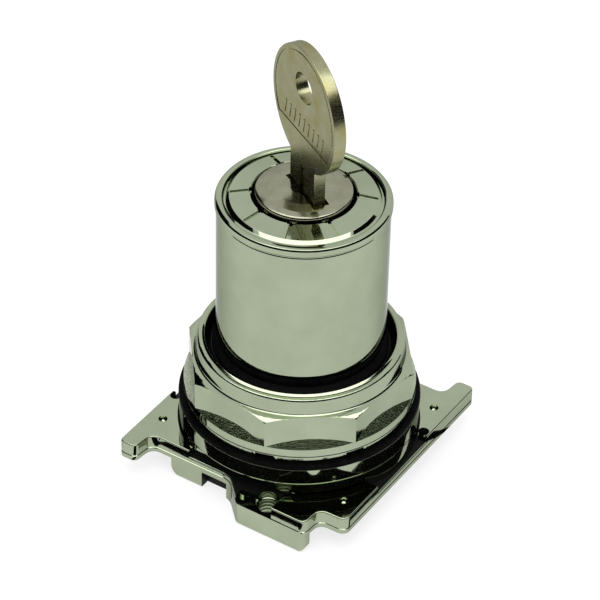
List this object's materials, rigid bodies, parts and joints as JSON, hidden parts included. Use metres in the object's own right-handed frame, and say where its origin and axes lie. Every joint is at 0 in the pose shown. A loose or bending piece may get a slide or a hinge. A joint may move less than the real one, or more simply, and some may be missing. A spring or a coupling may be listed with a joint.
{
  "type": "selector key switch",
  "caption": "Key-operated selector switch operator: chrome barrel with a position dial, octagonal panel nut, gasket and die-cast base, with the key in the lock.",
  "frame": {"origin": "on the barrel axis, level with the underside of the casting's deep skirts", "axes": "+Z along the barrel axis out of the panel towards the key, +Y towards twelve o'clock on the dial, +X to three o'clock"},
  "size_m": [0.0426, 0.046, 0.0818],
  "materials": {
    "plated_casting": "bright chrome plate on zinc casting",
    "black_rubber": "matt black nitrile",
    "lock_brass": "machined brass",
    "brushed_cap": "brushed stainless steel",
    "key_nickel_brass": "worn nickel silver",
    "zinc_steel": "zinc plated steel",
    "spring_steel": "hard drawn steel",
    "moulded_plastic": "moulded black nylon"
  },
  "bodies": {
    "base": {"base_casting": "plated_casting", "panel_gasket": "black_rubber", "retaining_nut": "plated_casting", "neck_seal": "black_rubber", "barrel_shell": "plated_casting", "index_ring": "plated_casting", "face_seal": "black_rubber", "lock_housing": "lock_brass", "lock_set_screw": "spring_steel", "index_cage": "moulded_plastic", "index_balls": "spring_steel", "index_springs": "spring_steel", "shaft_bush": "moulded_plastic", "shaft_o_ring": "black_rubber", "cam_retainer": "zinc_steel", "retainer_screws": "zinc_steel"},
    "rotor": {"lock_plug": "lock_brass", "face_cap": "brushed_cap", "tumbler_wafers": "lock_brass", "drive_shaft": "zinc_steel", "index_wheel": "zinc_steel", "operating_cam": "moulded_plastic", "cam_clip": "spring_steel"},
    "key": {"key": "key_nickel_brass"},
    "pusher_left": {"pusher_left": "moulded_plastic"},
    "pusher_right": {"pusher_right": "moulded_plastic"}
  },
  "joints": [
    {"name": "key_turn", "type": "hinge", "parent": "base", "child": "rotor", "pos_m": [0, 0, 0.05], "axis": [0, 0, 1], "range_deg": [-120, 0]},
    {"name": "key_pull", "type": "slide", "parent": "rotor", "child": "key", "axis": [0, 0, 1], "range_m": [0, 0.024]},
    {"name": "left_pusher_travel", "type": "slide", "parent": "base", "child": "pusher_left", "axis": [0, 0, 1], "range_m": [0, 0.0025]},
    {"name": "right_pusher_travel", "type": "slide", "parent": "base", "child": "pusher_right", "axis": [0, 0, 1], "range_m": [-0.0025, 0]}
  ],
  "couplings": [
    {"joint": "left_pusher_travel", "follows": "key_turn", "m_per_rad": -0.0011459},
    {"joint": "right_pusher_travel", "follows": "key_turn", "m_per_rad": 0.0011459}
  ]
}
